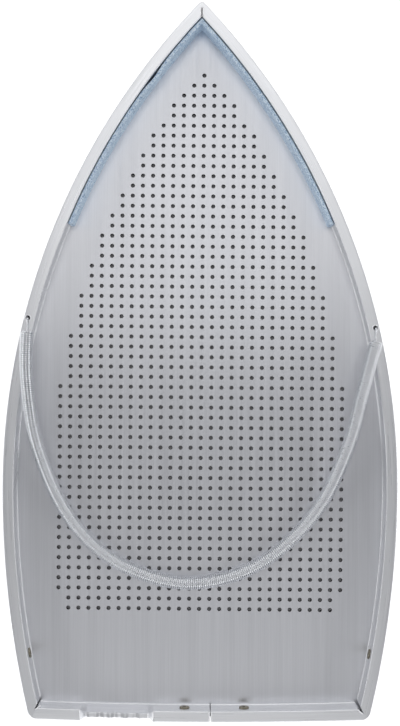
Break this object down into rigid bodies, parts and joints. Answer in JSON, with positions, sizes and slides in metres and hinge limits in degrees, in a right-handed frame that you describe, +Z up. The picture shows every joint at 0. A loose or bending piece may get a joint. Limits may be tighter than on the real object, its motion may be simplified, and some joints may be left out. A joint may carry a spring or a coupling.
{
  "type": "iron shoe cover",
  "caption": "Shallow pointed pan with a folded metal rim, a perforated base over a slippery sole sheet, and a long coil spring that goes over a pressing iron to hold the cover under it.",
  "frame": {"origin": "on the sole's face, under the middle of the outline's length and width", "axes": "+Y towards the nose, +Z up from the sole's face to the rim, +X to the right as seen from above"},
  "size_m": [0.1264, 0.2304, 0.0162],
  "materials": {
    "rim": "brushed",
    "plate": "brushed",
    "sole": "smooth, slightly waxy",
    "strip": "finely pored",
    "rivet": "dull",
    "spring": "drawn wire"
  },
  "bodies": {
    "shoe": {"frame": "rim", "base_plate": "plate", "sole_sheet": "sole", "nose_strip": "strip", "joint_bridge": "rim", "rivets": "rivet"},
    "spring_loop": {"spring": "spring"}
  },
  "joints": [
    {"name": "spring_lift", "type": "hinge", "parent": "shoe", "child": "spring_loop", "pos_m": [-0.0552, 0.0119, 0.0113], "axis": [-0.9997, 0.0252, 0], "range_deg": [0, 100]}
  ]
}
